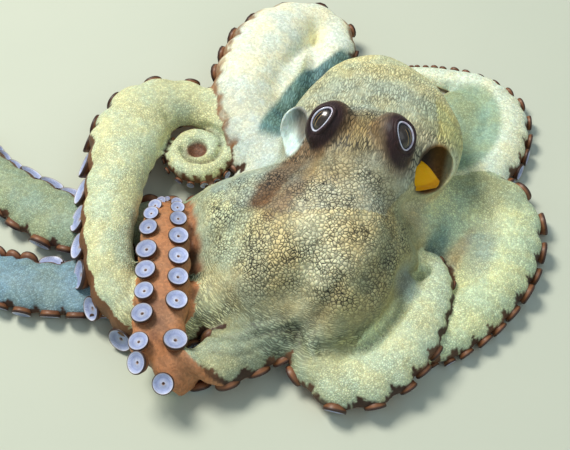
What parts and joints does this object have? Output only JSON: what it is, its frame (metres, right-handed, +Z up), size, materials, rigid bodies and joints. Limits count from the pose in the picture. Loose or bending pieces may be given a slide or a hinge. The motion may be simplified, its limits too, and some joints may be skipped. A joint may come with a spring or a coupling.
{
  "type": "octopus",
  "caption": "Life-size still model of a common octopus at rest on a flat floor, arms curled round its body and one arm turned to show its suckers.",
  "frame": {"origin": "on the floor under the mouth, at the middle of the crown of arms, on the flat underside of the web", "axes": "+Z up; +Y from the mouth towards the mantle's rear end; +X to the animal's own left"},
  "size_m": [0.3108, 0.2621, 0.0797],
  "materials": {
    "skin": "wet satin",
    "turned_skin": "wet satin",
    "sucker": "wet satin",
    "funnel_skin": "wet satin",
    "eye": "gloss"
  },
  "bodies": {
    "root": {"eye_right": "eye", "eye_left": "eye", "head": "skin", "web": "skin", "arm_right_1_base": "skin", "arm_right_1_middle": "turned_skin", "arm_right_1_tip": "turned_skin", "arm_left_1_base": "skin", "arm_left_1_middle": "skin", "arm_left_1_tip": "skin", "arm_right_2_base": "skin", "arm_right_2_middle": "skin", "arm_right_2_tip": "skin", "arm_left_2_base": "skin", "arm_left_2_middle": "skin", "arm_left_2_tip": "skin", "arm_left_4_base": "skin", "arm_left_4_middle": "skin", "arm_left_4_tip": "skin", "arm_left_3_base": "skin", "arm_left_3_middle": "skin", "arm_left_3_tip": "skin", "arm_right_4_base": "skin", "arm_right_4_middle": "skin", "arm_right_4_tip": "skin", "arm_right_3_base": "skin", "arm_right_3_middle": "skin", "arm_right_3_tip": "skin", "web_left": "skin", "web_rear": "skin", "funnel": "funnel_skin", "mantle": "skin"}
  },
  "joints": []
}
